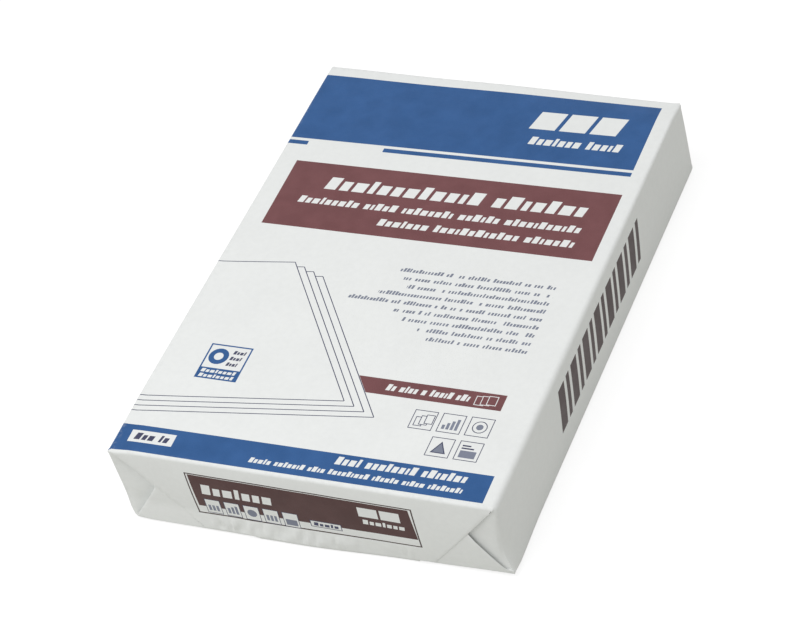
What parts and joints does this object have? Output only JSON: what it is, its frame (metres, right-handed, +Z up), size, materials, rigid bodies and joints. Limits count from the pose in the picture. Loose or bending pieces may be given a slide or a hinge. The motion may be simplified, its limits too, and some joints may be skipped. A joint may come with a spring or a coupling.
{
  "type": "ream of paper",
  "caption": "Sealed ream of A4 copy paper: a flat stack of sheets in a white paper wrapper with folded, glued ends, a lap seam underneath and plain printed colour fields.",
  "frame": {"origin": "middle of the pack's footprint, on the surface it rests on", "axes": "+Z up through the stack, Y along the sheets' long side, X along their short side; the end with the printed label faces -Y"},
  "size_m": [0.2118, 0.3014, 0.0508],
  "materials": {
    "wrapper_paper": "smooth white wrapping paper with a faint sheen, printed with plain fields of blue and maroon"
  },
  "bodies": {
    "root": {"wrapped_ream": "wrapper_paper"}
  },
  "joints": []
}
